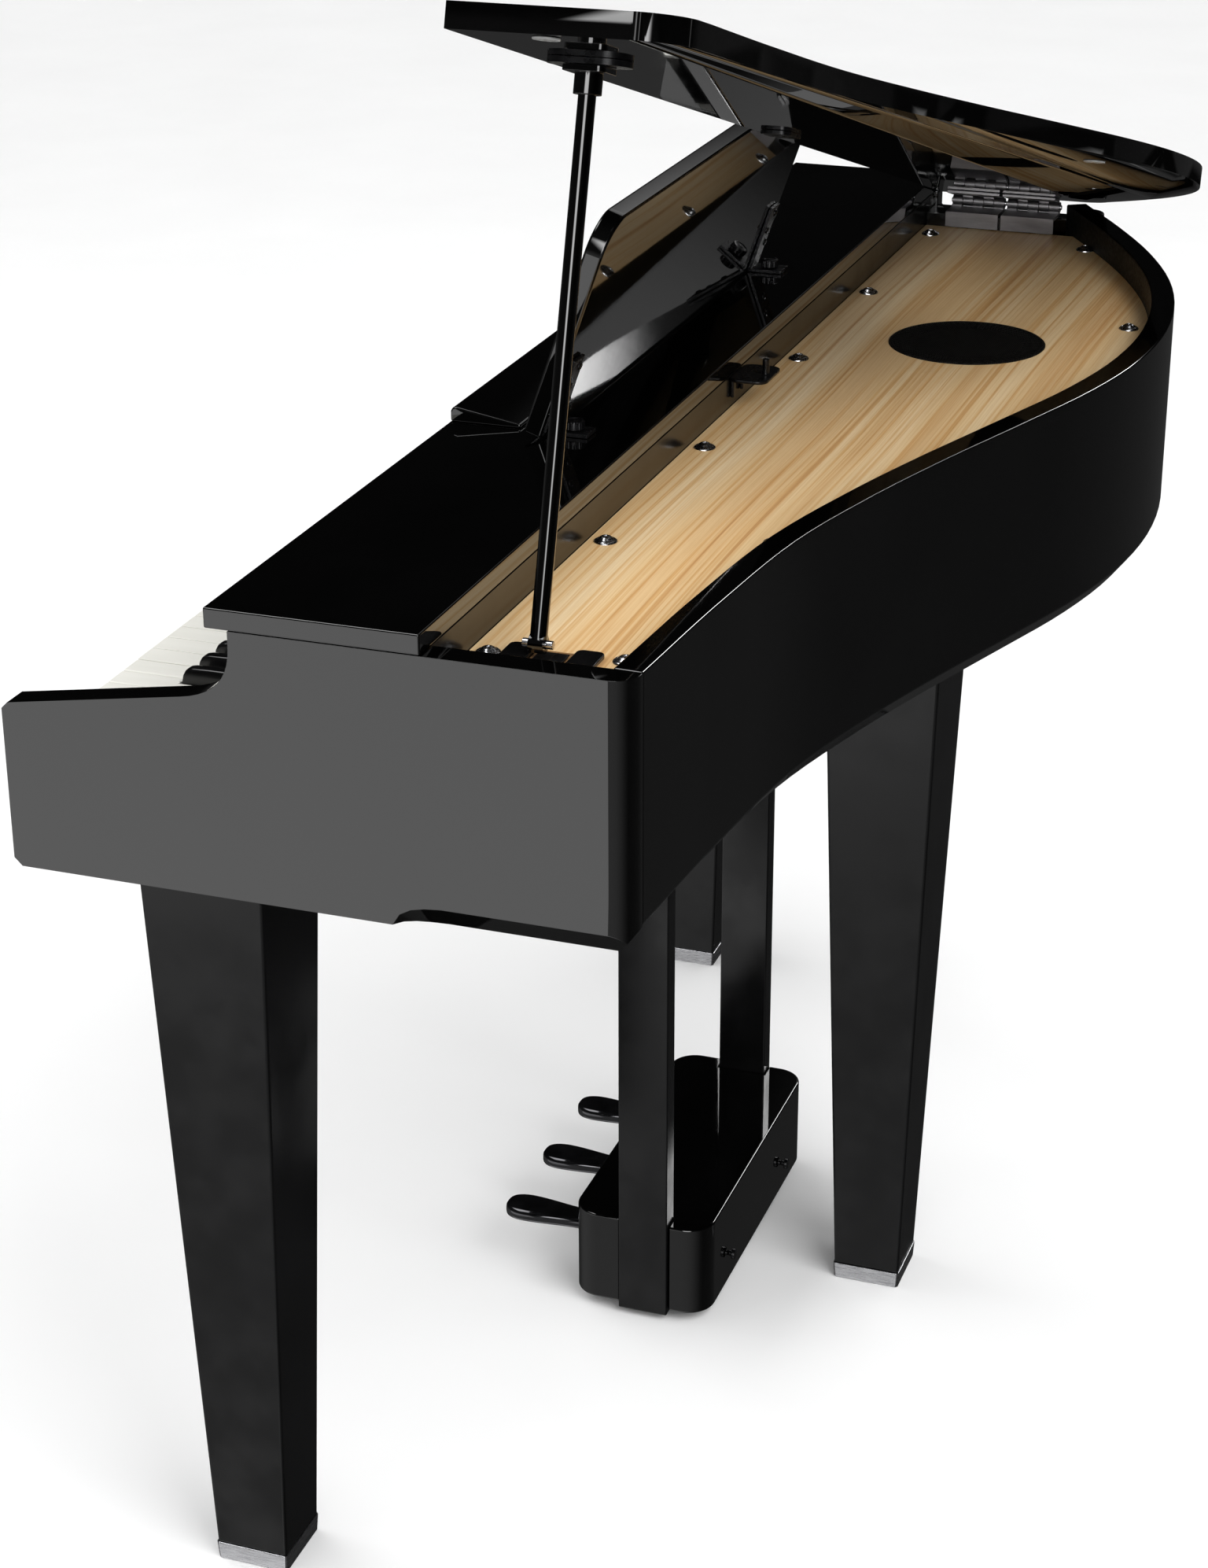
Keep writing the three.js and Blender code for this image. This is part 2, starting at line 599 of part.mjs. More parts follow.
function makePedalBox() {
  const wall = 10;
  const outline = roundedRect(boxBass, boxTreble, boxFront, boxRear, 25);
  const shell = standing(outline, boxBottom, boxTop, 6);
  const hollow = box(boxBass + 32, boxTreble - 32, boxFront + wall, boxRear - wall, boxBottom + wall, boxTop - wall);
  const cuts = [hollow];
  for (const [name, x] of Object.entries(postCentres)) {
    const inside = x - Math.sign(x) * (postThick / 2 + GAP);
    const outside = x + Math.sign(x) * 40;
    cuts.push(box(Math.min(inside, outside), Math.max(inside, outside), postFront - GAP, postRear + GAP, 0, 120));
    add(name, box(x - postThick / 2, x + postThick / 2, postFront, postRear, 6, 659.7), satin());
  }
  for (const k of [-1, 0, 1]) {
    const x = k * pedalPitch;
    cuts.push(box(x - 16, x + 16, boxFront - 5, boxFront + wall + 5, 30, 72));
  }
  add('pedal_box', cut(shell, ...cuts), gloss());
  add('pedal_axle', rodAlongX(4, -116, 116, pedalPivotY, pedalPivotZ, 16), chrome());
}

function makePedals() {
  const names = ['pedal_left', 'pedal_middle', 'pedal_right'];
  names.forEach((name, i) => {
    const x = (i - 1) * pedalPitch;
    const tip = 108;
    const neck = 11.5;
    const wide = 17;
    const plan = new THREE.Shape();
    plan.moveTo(x - neck, 300);
    plan.lineTo(x - neck, 190);
    plan.bezierCurveTo(x - neck, 170, x - wide, 160, x - wide, 130);
    plan.bezierCurveTo(x - wide, 115, x - 10, tip, x, tip);
    plan.bezierCurveTo(x + 10, tip, x + wide, 115, x + wide, 130);
    plan.bezierCurveTo(x + wide, 160, x + neck, 170, x + neck, 190);
    plan.lineTo(x + neck, 300);
    const blank = standing(plan, pedalPivotZ - 8, pedalPivotZ + 7, 6);
    const bore = rodAlongX(4.3, x - 20, x + 20, pedalPivotY, pedalPivotZ, 16);
    const under = box(x - 30, x + 30, 100, 275, pedalPivotZ - 20, pedalPivotZ - 6);
    add(name, cut(blank, bore, under), finish(0x2a2a2c, 0.12, 0.9));
  });
}

function makeBoxThumbScrews() {
  for (const [name, x] of [['box_thumb_screw_treble', 83], ['box_thumb_screw_bass', -87]]) {
    const screw = turned([[0, 0], [2.5, 0], [2.5, 3], [5, 3], [5, 6.5], [0, 6.5]], 16).rotateX(-Math.PI / 2);
    add(name, screw.translate(x, boxRear + GAP, 39), darkMetal());
  }
}

makeCheeks();
makeRim();
makeInnerCase();
makeSoundboard();
makeLid();
makeHinges();
makeProp();
makeLidPin();
makeMusicDesk();
makeKeys();
makeKeyBlocks();
makeKeyCover();
makeMainBoard();
makeLegs();
makePedalBox();
makePedals();
makeBoxThumbScrews();

export default piano;
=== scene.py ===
import json
import math

import bmesh
import bpy
from mathutils import Matrix, Vector

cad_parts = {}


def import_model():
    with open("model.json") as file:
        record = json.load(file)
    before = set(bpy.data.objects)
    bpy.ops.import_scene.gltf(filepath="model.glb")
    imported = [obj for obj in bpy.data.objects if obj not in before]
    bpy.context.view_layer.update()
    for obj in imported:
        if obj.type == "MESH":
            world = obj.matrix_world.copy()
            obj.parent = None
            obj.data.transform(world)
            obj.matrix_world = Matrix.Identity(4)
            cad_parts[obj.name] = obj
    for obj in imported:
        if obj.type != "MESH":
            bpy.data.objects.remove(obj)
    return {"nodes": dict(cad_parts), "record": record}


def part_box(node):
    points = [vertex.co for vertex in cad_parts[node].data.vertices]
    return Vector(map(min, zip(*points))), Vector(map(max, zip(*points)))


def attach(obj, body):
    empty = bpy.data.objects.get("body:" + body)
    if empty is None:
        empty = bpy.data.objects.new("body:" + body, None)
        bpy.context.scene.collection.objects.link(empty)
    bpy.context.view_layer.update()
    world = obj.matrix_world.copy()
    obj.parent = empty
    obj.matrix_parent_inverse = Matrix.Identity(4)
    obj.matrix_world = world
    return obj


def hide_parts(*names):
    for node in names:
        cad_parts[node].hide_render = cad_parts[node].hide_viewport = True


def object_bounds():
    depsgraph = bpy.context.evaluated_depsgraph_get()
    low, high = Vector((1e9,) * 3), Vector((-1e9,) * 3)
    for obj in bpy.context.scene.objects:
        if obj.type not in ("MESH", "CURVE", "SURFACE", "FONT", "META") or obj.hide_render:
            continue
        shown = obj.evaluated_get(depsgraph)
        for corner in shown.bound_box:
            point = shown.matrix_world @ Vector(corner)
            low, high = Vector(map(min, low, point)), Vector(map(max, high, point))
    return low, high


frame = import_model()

cad_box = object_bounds()
NODES = frame["nodes"]
BODY_OF = {n: b for b, names in frame["record"]["behaviour"]["bodies"].items() for n in names}
SLOT_OF = {n: o.data.materials[0].name.split(".")[0] for n, o in NODES.items()}
MM = 0.001
X, Z = Vector((1, 0, 0)), Vector((0, 0, 1))
FRONT = -300.5  # the key fronts' place along Y, mm


# ---------------------------------------------------------------- camera
CAMERA_PLACE = (2.4252, 0.7332, 1.5956)
CAMERA_TURN = (19.6, -23.9, -0.2)  # yaw, pitch and roll in degrees
CAMERA_LENS = 71.45  # mm, on a sensor 36 mm along its longer side


def set_camera():
    """The photograph's viewing angle: from the treble side and behind, looking down."""
    yaw, pitch, roll = (math.radians(angle) for angle in CAMERA_TURN)
    forward = Vector((-math.cos(yaw) * math.cos(pitch), -math.sin(yaw) * math.cos(pitch),
                      math.sin(pitch)))
    side = forward.cross(Z).normalized()
    up = side.cross(forward)
    side, up = (side * math.cos(roll) + up * math.sin(roll),
                up * math.cos(roll) - side * math.sin(roll))
    camera = bpy.data.objects.new("camera", bpy.data.cameras.new("camera"))
    bpy.context.scene.collection.objects.link(camera)
    camera.data.sensor_fit = "AUTO"
    camera.data.sensor_width = 36.0
    camera.data.lens = CAMERA_LENS
    camera.data.clip_start, camera.data.clip_end = 0.05, 60.0
    turn = Matrix((side, up, -forward)).transposed().to_4x4()
    camera.matrix_world = Matrix.Translation(CAMERA_PLACE) @ turn
    bpy.context.scene.camera = camera


set_camera()


# ---------------------------------------------------------------- node helpers
class Tree:
    """A short way to write shader nodes."""

    def __init__(self, tree):
        self.tree = tree
        tree.nodes.clear()

    def add(self, kind, settings=None, **sockets):
        """A node; sockets are named with an underscore for each space."""
        node = self.tree.nodes.new(kind)
        for key, value in (settings or {}).items():
            setattr(node, key, value)
        for key, value in sockets.items():
            self.put(node.inputs[key.replace("_", " ")], value)
        return node

    def put(self, socket, value):
        if isinstance(value, bpy.types.NodeSocket):
            self.tree.links.new(value, socket)
        else:
            socket.default_value = value

    def math(self, operation, a, b=0.0):
        node = self.tree.nodes.new("ShaderNodeMath")
        node.operation = operation
        for socket, value in zip(node.inputs, (a, b)):
            self.put(socket, value)
        return node.outputs[0]

    def dot(self, a, b):
        node = self.tree.nodes.new("ShaderNodeVectorMath")
        node.operation = "DOT_PRODUCT"
        self.put(node.inputs[0], a)
        self.put(node.inputs[1], b)
        return node.outputs["Value"]

    def smooth(self, value, low, high, out_low, out_high):
        node = self.tree.nodes.new("ShaderNodeMapRange")
        node.interpolation_type = "SMOOTHSTEP"
        for socket, item in zip(node.inputs, (value, low, high, out_low, out_high)):
            self.put(socket, item)
        return node.outputs["Result"]

    def ramp(self, value, stops):
        node = self.tree.nodes.new("ShaderNodeValToRGB")
        element = node.color_ramp.elements
        while len(element) < len(stops):
            element.new(0.5)
        for item, (place, colour) in zip(element, stops):
            item.position = place
            item.color = (*colour, 1.0)
        self.put(node.inputs[0], value)
        return node.outputs["Color"]

    def noise(self, coords, scale, detail, rough, stretch=None):
        if stretch:
            coords = self.add("ShaderNodeMapping", Vector=coords, Scale=stretch).outputs[0]
        node = self.add("ShaderNodeTexNoise", Vector=coords, Scale=scale, Detail=detail, Roughness=rough)
        return node.outputs["Fac"]

    def object_coords(self):
        return self.tree.nodes.new("ShaderNodeTexCoord").outputs["Object"]

    def multiply(self, factor, a, b):
        """Colour a, darkened by colour b to the share given by factor."""
        node = self.tree.nodes.new("ShaderNodeMix")
        node.data_type = "RGBA"
        node.blend_type = "MULTIPLY"
        for place, value in ((0, factor), (6, a), (7, b)):
            self.put(node.inputs[place], value)
        return node.outputs[2]


def srgb(hexa):
    """A colour as it is seen, such as "d9b98a", in the linear values that shaders take."""
    values = [int(hexa[i:i + 2], 16) / 255 for i in (0, 2, 4)]
    return tuple(v / 12.92 if v <= 0.04045 else ((v + 0.055) / 1.055) ** 2.4 for v in values)


def material(name, **sockets):
    """A Principled material; returns it with its tree, its shader and its object coordinates."""
    made = bpy.data.materials.new(name)
    made.use_nodes = True
    tree = Tree(made.node_tree)
    shader = tree.add("ShaderNodeBsdfPrincipled", None, **sockets)
    out = tree.add("ShaderNodeOutputMaterial")
    tree.tree.links.new(shader.outputs[0], out.inputs[0])
    return made, tree, shader, tree.object_coords()


def bump(tree, shader, height, strength, distance):
    """Fine relief in the shading; distance in metres."""
    node = tree.add("ShaderNodeBump", Height=height, Strength=strength, Distance=distance)
    tree.put(shader.inputs["Normal"], node.outputs[0])


# ---------------------------------------------------------------- materials
def black_lacquer():
    """Polished polyester lacquer: almost a mirror, with faint swirl marks and a slow orange peel."""
    made, tree, shader, at = material("black_lacquer", IOR=1.5, Specular_IOR_Level=0.5,
                                      Coat_Weight=0.55, Coat_Roughness=0.012)
    dust = tree.noise(at, 9.0, 4.0, 0.6)
    tree.put(shader.inputs["Base Color"], tree.ramp(dust, [(0.3, srgb("010101")), (0.75, srgb("030303"))]))
    tree.put(shader.inputs["Roughness"], tree.smooth(tree.noise(at, 14.0, 5.0, 0.65), 0.3, 0.8, 0.018, 0.05))
    bump(tree, shader, tree.noise(at, 55.0, 1.0, 0.4), 0.02, 0.0006)
    return made


def satin_black():
    """Satin paint on board: a soft sheen with a fine stipple and rubbed, slightly glossier patches."""
    made, tree, shader, at = material("satin_black", IOR=1.45, Specular_IOR_Level=0.45)
    tree.put(shader.inputs["Base Color"],
             tree.ramp(tree.noise(at, 6.0, 4.0, 0.6), [(0.3, srgb("050505")), (0.75, srgb("0b0b0c"))]))
    tree.put(shader.inputs["Roughness"], tree.smooth(tree.noise(at, 20.0, 5.0, 0.6), 0.3, 0.75, 0.16, 0.26))
    bump(tree, shader, tree.noise(at, 1400.0, 2.0, 0.5), 0.05, 0.0001)
    return made


def black_metal():
    """Blackened steel: dark, half metallic, with a fine cast grain."""
    made, tree, shader, at = material("black_metal", Metallic=0.55, IOR=1.5)
    tree.put(shader.inputs["Base Color"],
             tree.ramp(tree.noise(at, 160.0, 4.0, 0.65), [(0.3, srgb("0b0b0c")), (0.8, srgb("232325"))]))
    tree.put(shader.inputs["Roughness"], tree.smooth(tree.noise(at, 90.0, 4.0, 0.6), 0.3, 0.7, 0.22, 0.4))
    bump(tree, shader, tree.noise(at, 900.0, 2.0, 0.5), 0.12, 0.0002)
    return made


def nickel():
    """Satin nickel plate, brushed level, with the lighter and darker streaks of brushing."""
    made, tree, shader, at = material("nickel", Metallic=1.0)
    streaks = tree.noise(at, 60.0, 4.0, 0.7, stretch=(1.0, 1.0, 26.0))
    tree.put(shader.inputs["Base Color"], tree.ramp(streaks, [(0.25, srgb("a9a9ad")), (0.8, srgb("d4d4d6"))]))
    tree.put(shader.inputs["Roughness"], tree.smooth(streaks, 0.3, 0.7, 0.2, 0.34))
    bump(tree, shader, streaks, 0.04, 0.0002)
    return made


def chrome_plate():
    """Bright plate on the board's screws, with the fine turning marks of their heads."""
    made, tree, shader, at = material("chrome_plate", Metallic=1.0)
    marks = tree.noise(at, 700.0, 3.0, 0.6)
    tree.put(shader.inputs["Base Color"], tree.ramp(marks, [(0.3, srgb("b9babd")), (0.8, srgb("dcdddf"))]))
    tree.put(shader.inputs["Roughness"], tree.smooth(marks, 0.3, 0.7, 0.18, 0.3))
    return made


def black_nickel():
    """Black nickel plate on the pedals: dark mirror metal with faint shoe rubbing."""
    made, tree, shader, at = material("black_nickel", Metallic=0.9, Coat_Weight=0.6, Coat_Roughness=0.03)
    rub = tree.noise(at, 45.0, 5.0, 0.65)
    tree.put(shader.inputs["Base Color"], tree.ramp(rub, [(0.3, srgb("242426")), (0.8, srgb("404043"))]))
    tree.put(shader.inputs["Roughness"], tree.smooth(rub, 0.35, 0.8, 0.06, 0.16))
    return made


def ivory_plastic():
    """Key tops: moulded ivory-feel plastic with a fine grain along each key."""
    made, tree, shader, at = material("ivory_plastic", IOR=1.48)
    grain = tree.noise(at, 120.0, 2.0, 0.5, stretch=(1.0, 0.12, 1.0))
    tree.put(shader.inputs["Base Color"], tree.ramp(grain, [(0.2, srgb("e8e7df")), (0.8, srgb("eeede6"))]))
    tree.put(shader.inputs["Roughness"], tree.smooth(grain, 0.3, 0.7, 0.3, 0.36))
    return made


def ebony_plastic():
    """Black key sticks: near-black plastic with a soft polish and long ebony grain."""
    made, tree, shader, at = material("ebony_plastic", IOR=1.5, Specular_IOR_Level=0.5)
    grain = tree.noise(at, 220.0, 4.0, 0.6, stretch=(1.0, 0.06, 1.0))
    tree.put(shader.inputs["Base Color"], tree.ramp(grain, [(0.3, srgb("050505")), (0.8, srgb("111112"))]))
    tree.put(shader.inputs["Roughness"], tree.smooth(grain, 0.3, 0.7, 0.14, 0.24))
    bump(tree, shader, grain, 0.05, 0.0001)
    return made


def painted_board():
    """Rough black paint over the hidden boards, with fibre showing through."""
    made, tree, shader, at = material("painted_board", IOR=1.45, Specular_IOR_Level=0.35)
    fibre = tree.noise(at, 240.0, 5.0, 0.7)
    tree.put(shader.inputs["Base Color"], tree.ramp(fibre, [(0.3, srgb("0a0a0a")), (0.8, srgb("151514"))]))
    tree.put(shader.inputs["Roughness"], tree.smooth(fibre, 0.3, 0.7, 0.45, 0.65))
    bump(tree, shader, fibre, 0.25, 0.0004)
    return made


def spruce_veneer():
    """Spruce veneer with the grain along the keyboard: pale growth bands, thin dark late-wood lines."""
    made, tree, shader, at = material("spruce_veneer", IOR=1.45, Specular_IOR_Level=0.35)
    drift = tree.noise(at, 1.0, 1.0, 0.5, stretch=(1.1, 2.5, 1.0))
    sway = tree.add("ShaderNodeCombineXYZ", None, Y=tree.math("MULTIPLY", drift, 0.03)).outputs[0]
    bent = tree.add("ShaderNodeVectorMath", {"operation": "ADD"})
    tree.put(bent.inputs[0], at)
    tree.put(bent.inputs[1], sway)
    along = bent.outputs[0]
    bands = tree.noise(along, 1.0, 2.0, 0.5, stretch=(0.35, 30.0, 1.0))
    lines = tree.noise(along, 1.0, 3.0, 0.65, stretch=(0.9, 190.0, 1.0))
    fibres = tree.noise(along, 1.0, 3.0, 0.65, stretch=(7.0, 720.0, 1.0))
    base = tree.ramp(bands, [(0.28, srgb("dcb684")), (0.5, srgb("e8c796")), (0.7, srgb("f0d6ac"))])
    late = tree.ramp(lines, [(0.30, srgb("c99c63")), (0.40, srgb("ecd2a8")), (0.50, srgb("ffffff"))])
    wood = tree.multiply(0.6, base, late)
    fine = tree.ramp(fibres, [(0.32, srgb("e2d3bb")), (0.6, srgb("ffffff"))])
    tree.put(shader.inputs["Base Color"], tree.multiply(0.5, wood, fine))
    tree.put(shader.inputs["Roughness"], tree.smooth(lines, 0.3, 0.7, 0.36, 0.5))
    bump(tree, shader, fibres, 0.12, 0.0002)
    return made


def grille_mesh():
    """Black woven speaker gauze: a fine over-and-under weave with a dull sheen."""
    made, tree, shader, at = material("grille_mesh", IOR=1.45, Specular_IOR_Level=0.4)
    waves = []
    for turn in (0.0, math.pi / 2):
        turned = tree.add("ShaderNodeMapping", Vector=at, Rotation=(0.0, 0.0, turn)).outputs[0]
        wave = tree.add("ShaderNodeTexWave", {"bands_direction": "X"}, Vector=turned, Scale=190.0,
                        Distortion=0.0, Detail=0.0)
        waves.append(wave.outputs["Fac"])
    weave = tree.math("MULTIPLY", waves[0], waves[1])
    tree.put(shader.inputs["Base Color"], tree.ramp(weave, [(0.1, srgb("020202")), (0.8, srgb("1b1a18"))]))
    tree.put(shader.inputs["Roughness"], tree.smooth(weave, 0.0, 1.0, 0.7, 0.42))
    bump(tree, shader, weave, 0.6, 0.0006)
    return made


def speaker_plastic():
    """Moulded black plastic of the driver and the board's small parts."""
    made, tree, shader, at = material("speaker_plastic", IOR=1.46, Specular_IOR_Level=0.4)
    grain = tree.noise(at, 700.0, 3.0, 0.6)
    tree.put(shader.inputs["Base Color"], tree.ramp(grain, [(0.3, srgb("0a0a0b")), (0.8, srgb("18181a"))]))
    tree.put(shader.inputs["Roughness"], tree.smooth(grain, 0.3, 0.7, 0.38, 0.55))
    bump(tree, shader, grain, 0.2, 0.0002)
    return made


def circuit_board():
    """Green solder mask with paler tracks."""
    made, tree, shader, at = material("circuit_board", IOR=1.5, Coat_Weight=0.3, Coat_Roughness=0.1)
    cells = tree.add("ShaderNodeTexVoronoi", {"feature": "DISTANCE_TO_EDGE", "distance": "EUCLIDEAN"},
                     Vector=at, Scale=160.0).outputs["Distance"]
    tree.put(shader.inputs["Base Color"], tree.ramp(cells, [(0.04, srgb("3d7a4d")), (0.08, srgb("12401f"))]))
    tree.put(shader.inputs["Roughness"], tree.smooth(cells, 0.0, 0.3, 0.3, 0.45))
    return made


def clear_bumper():
    """Milky clear silicone of the lid's stick-on bumpers."""
    made, tree, shader, at = material("clear_bumper", IOR=1.42)
    cloud = tree.noise(at, 300.0, 3.0, 0.6)
    tree.put(shader.inputs["Base Color"], tree.ramp(cloud, [(0.3, srgb("8a8b8a")), (0.8, srgb("a4a5a3"))]))
    tree.put(shader.inputs["Roughness"], tree.smooth(cloud, 0.3, 0.7, 0.14, 0.28))
    return made


def satin_steel():
    """Zinc-grey hinge steel, rolled: a soft sheen with long faint roller marks."""
    made, tree, shader, at = material("satin_steel", Metallic=0.75)
    rolled = tree.noise(at, 90.0, 4.0, 0.65, stretch=(1.0, 0.15, 1.0))
    tree.put(shader.inputs["Base Color"], tree.ramp(rolled, [(0.3, srgb("6b696b")), (0.8, srgb("8f8d8f"))]))
    tree.put(shader.inputs["Roughness"], tree.smooth(rolled, 0.3, 0.7, 0.3, 0.45))
    bump(tree, shader, rolled, 0.05, 0.0001)
    return made


def raw_board():
    """The cut edge of the core board where the prop's slot goes through."""
    made, tree, shader, at = material("raw_board", IOR=1.4, Specular_IOR_Level=0.25)
    fibre = tree.noise(at, 500.0, 5.0, 0.7, stretch=(1.0, 1.0, 0.3))
    tree.put(shader.inputs["Base Color"], tree.ramp(fibre, [(0.3, srgb("6d4f31")), (0.8, srgb("a07d54"))]))
    tree.put(shader.inputs["Roughness"], tree.smooth(fibre, 0.3, 0.7, 0.6, 0.8))
    bump(tree, shader, fibre, 0.3, 0.0003)
    return made


MATERIALS = {make.__name__: make() for make in (
    black_lacquer, satin_black, black_metal, nickel, chrome_plate, black_nickel, ivory_plastic, ebony_plastic,
    painted_board, spruce_veneer, grille_mesh, speaker_plastic, circuit_board, clear_bumper, satin_steel,
    raw_board)}


# ---------------------------------------------------------------- mesh helpers
CREASE = 35.0  # degrees: an edge that turns by more is eased
WELD = 2e-6  # metres
FLAT = 0.4  # degrees: faces that turn by less are one face
INSIDE_RIM = (0.0, -0.2)  # a place that all of the rim's inner faces look towards


def piece(name, mesh, body, look, smooth=35.0, bevel=0.0, segments=2):
    """A new shown piece: riding on a body, in a material. Its edges are eased by bevel, in metres, or
    else stay sharp where the faces turn by more than smooth, in degrees."""
    for polygon in mesh.polygons:
        polygon.use_smooth = True
    mesh.set_sharp_from_angle(angle=math.radians(180.0 if bevel else smooth))
    mesh.materials.clear()
    mesh.materials.append(MATERIALS[look])
    made = bpy.data.objects.new(name, mesh)
    bpy.context.scene.collection.objects.link(made)
    if bevel:
        edge = made.modifiers.new("eased_edges", "BEVEL")
        edge.width, edge.segments = bevel, segments
        edge.limit_method, edge.angle_limit = "ANGLE", math.radians(CREASE)
        made.modifiers.new("flat_faces", "WEIGHTED_NORMAL")
    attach(made, body)
    return made


def refined(node, look, bevel, segments):
    """Stands for a CAD node: the same solid, with flat faces made whole and its edges eased by bevel,
    in mm."""
    mesh = NODES[node].data.copy()
    mesh.name = node + "_shown"
    work = bmesh.new()
    work.from_mesh(mesh)
    bmesh.ops.remove_doubles(work, verts=work.verts, dist=WELD)
    bmesh.ops.dissolve_limit(work, angle_limit=math.radians(FLAT), verts=work.verts, edges=work.edges,
                             use_dissolve_boundaries=False)
    work.to_mesh(mesh)
    work.free()
    mesh.update()
    slot = SLOT_OF[node]
    made = piece(node + "_shown", mesh, BODY_OF[node], look or slot, bevel=bevel * MM,
                 segments=segments)
    if node == "curved_rim":  # its inner face is only painted
        mesh.materials.append(MATERIALS["painted_board"])
        for face in mesh.polygons:
            outward = face.center - Vector((*INSIDE_RIM, face.center.z))
            if abs(face.normal.z) < 0.1 and face.normal.dot(outward) < 0:
                face.material_index = 1
    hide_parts(node)


# ---------------------------------------------------------------- stage and light
TREBLE_SIDE = Vector((math.cos(math.radians(-25)), math.sin(math.radians(-25)), 0.0))
SOFT_BOXES = (  # azimuth, elevation, width, height in degrees, share of soft edge, strength
    (164.0, 30.0, 9.0, 18.0, 0.25, 14.0),     # behind the bass end
    (168.0, 32.0, 50.0, 26.0, 0.5, 0.55),     # its dim spill
    (-37.0, -21.0, 50.0, 16.0, 0.06, 1.15),   # low, in front of the treble cheek
    (9.0, 16.0, 38.0, 42.0, 0.5, 7.0),        # a tall soft strip at the treble tail corner
    (-70.0, 66.0, 40.0, 30.0, 0.5, 5.0),      # overhead, over the player
    (-30.0, -58.0, 70.0, 30.0, 0.5, 1.6),     # the pale floor in front of the treble cheek
)


def world():
    """Soft studio surroundings: a pale room for the camera and for diffuse light, and for
    reflections a dim studio with a few soft boxes."""
    made = bpy.data.worlds.new("studio")
    bpy.context.scene.world = made
    made.use_nodes = True
    tree = Tree(made.node_tree)
    direction = tree.tree.nodes.new("ShaderNodeTexCoord").outputs["Generated"]

    def soft_box(azimuth, elevation, width, height, edge, strength):
        """A rectangle of light, its middle and its size in degrees."""
        a, e = math.radians(azimuth), math.radians(elevation)
        middle = Vector((math.cos(a) * math.cos(e), math.sin(a) * math.cos(e), math.sin(e)))
        across = Vector((-math.sin(a), math.cos(a), 0.0))
        upward = middle.cross(across)
        depth = tree.math("MAXIMUM", tree.dot(direction, middle), 0.001)
        mask = strength
        for axis, size in ((across, width), (upward, height)):
            half = math.tan(math.radians(size / 2))
            place = tree.math("ABSOLUTE", tree.math("DIVIDE", tree.dot(direction, axis), depth))
            mask = tree.math("MULTIPLY", mask, tree.smooth(place, half, half * (1 - edge), 0.0, 1.0))
        return mask

    height = tree.dot(direction, Z)
    treble = tree.smooth(tree.dot(direction, TREBLE_SIDE), -0.25, 0.85, 0.03, 0.34)
    level = tree.math("MULTIPLY", treble, tree.smooth(height, 0.05, -0.25, 0.12, 1.0))
    for box in SOFT_BOXES:
        level = tree.math("ADD", level, soft_box(*box))
    dim = tree.add("ShaderNodeBackground", Color=(1, 1, 1, 1), Strength=level)
    pale = tree.add("ShaderNodeBackground", Color=(1, 1, 1, 1), Strength=0.95)
    rays = tree.tree.nodes.new("ShaderNodeLightPath")
    choose = tree.tree.nodes.new("ShaderNodeMixShader")
    tree.put(choose.inputs[0], rays.outputs["Is Glossy Ray"])
    tree.tree.links.new(pale.outputs[0], choose.inputs[1])
    tree.tree.links.new(dim.outputs[0], choose.inputs[2])
    out = tree.tree.nodes.new("ShaderNodeOutputWorld")
    tree.tree.links.new(choose.outputs[0], out.inputs[0])


def floor():
    """A pale floor, just under the feet, that reflections leave out."""
    mesh = bpy.data.meshes.new("floor")
    half = 60.0
    mesh.from_pydata([(-half, -half, 0), (half, -half, 0), (half, half, 0), (-half, half, 0)], [],
                     [(0, 1, 2, 3)])
    made = bpy.data.objects.new("floor", mesh)
    bpy.context.scene.collection.objects.link(made)
    made.location.z = cad_box[0].z - 0.0002
    paint, tree, shader, at = material("floor_paint", Roughness=0.9, Specular_IOR_Level=0.1)
    clouds = tree.noise(at, 3.0, 3.0, 0.5)
    tree.put(shader.inputs["Base Color"],
             tree.ramp(clouds, [(0.3, (0.93, 0.93, 0.93)), (0.8, (0.96, 0.96, 0.96))]))
    mesh.materials.append(paint)
    made.visible_glossy = False


def area_light(name, place, aim, size, power):
    """A soft box that neither the camera nor a reflection sees."""
    light = bpy.data.lights.new(name, "AREA")
    light.shape = "RECTANGLE"
    light.size, light.size_y = size
    light.energy = power
    made = bpy.data.objects.new(name, light)
    bpy.context.scene.collection.objects.link(made)
    made.location = place
    made.rotation_euler = (Vector(aim) - Vector(place)).to_track_quat("-Z", "Y").to_euler()
    made.visible_camera = False
    made.visible_glossy = False


world()
floor()
area_light("key_light", (1.6, 2.2, 3.0), (0.0, 0.1, 0.8), (2.6, 2.6), 85.0)
area_light("fill_light", (-0.5, -2.6, 2.6), (0.0, -0.1, 0.7), (2.4, 1.6), 25.0)
bpy.context.scene.view_settings.view_transform = "Standard"


